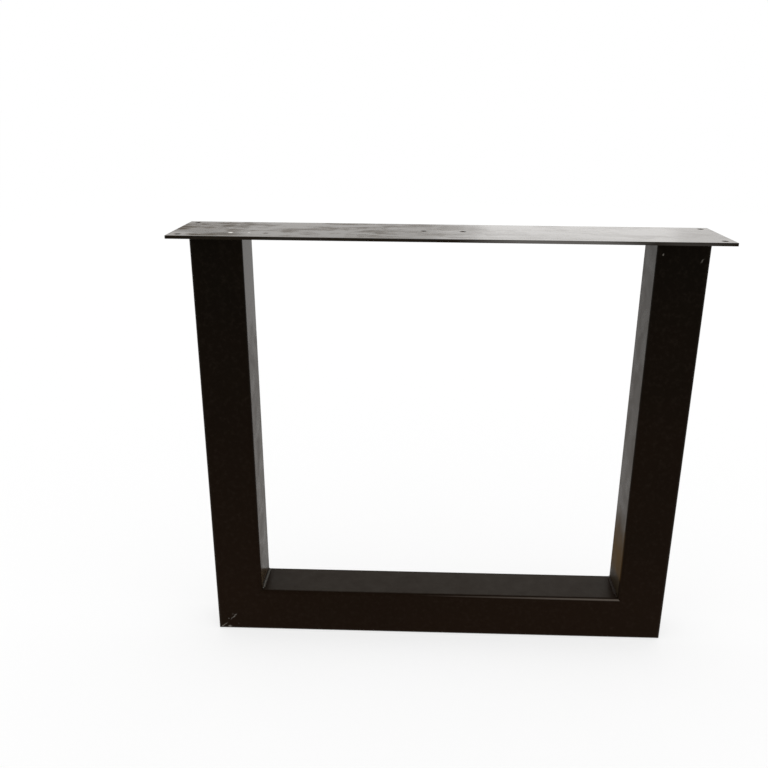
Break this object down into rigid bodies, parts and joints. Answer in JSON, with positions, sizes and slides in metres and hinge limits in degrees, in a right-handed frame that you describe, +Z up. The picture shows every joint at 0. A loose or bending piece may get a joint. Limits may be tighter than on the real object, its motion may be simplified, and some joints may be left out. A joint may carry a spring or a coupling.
{
  "type": "u shaped table leg",
  "caption": "U shaped table leg of welded square steel tube, painted black, with a flat drilled plate on top that screws under a table top.",
  "frame": {"origin": "on the floor, under the middle of the leg", "axes": "+X along the base rail, to the right in the front view; +Y from the front to the back; +Z up, towards the table top"},
  "size_m": [0.83, 0.15, 0.7],
  "materials": {
    "painted_tube": "satin black paint on drawn square steel tube",
    "painted_plate": "satin black paint on rolled steel plate, slightly dusty",
    "painted_weld": "satin black paint over weld beads"
  },
  "bodies": {
    "root": {"top_plate": "painted_plate", "left_upright": "painted_tube", "right_upright": "painted_tube", "base_rail": "painted_tube", "left_corner_weld": "painted_weld", "right_corner_weld": "painted_weld", "left_plate_weld": "painted_weld", "right_plate_weld": "painted_weld"}
  },
  "joints": []
}
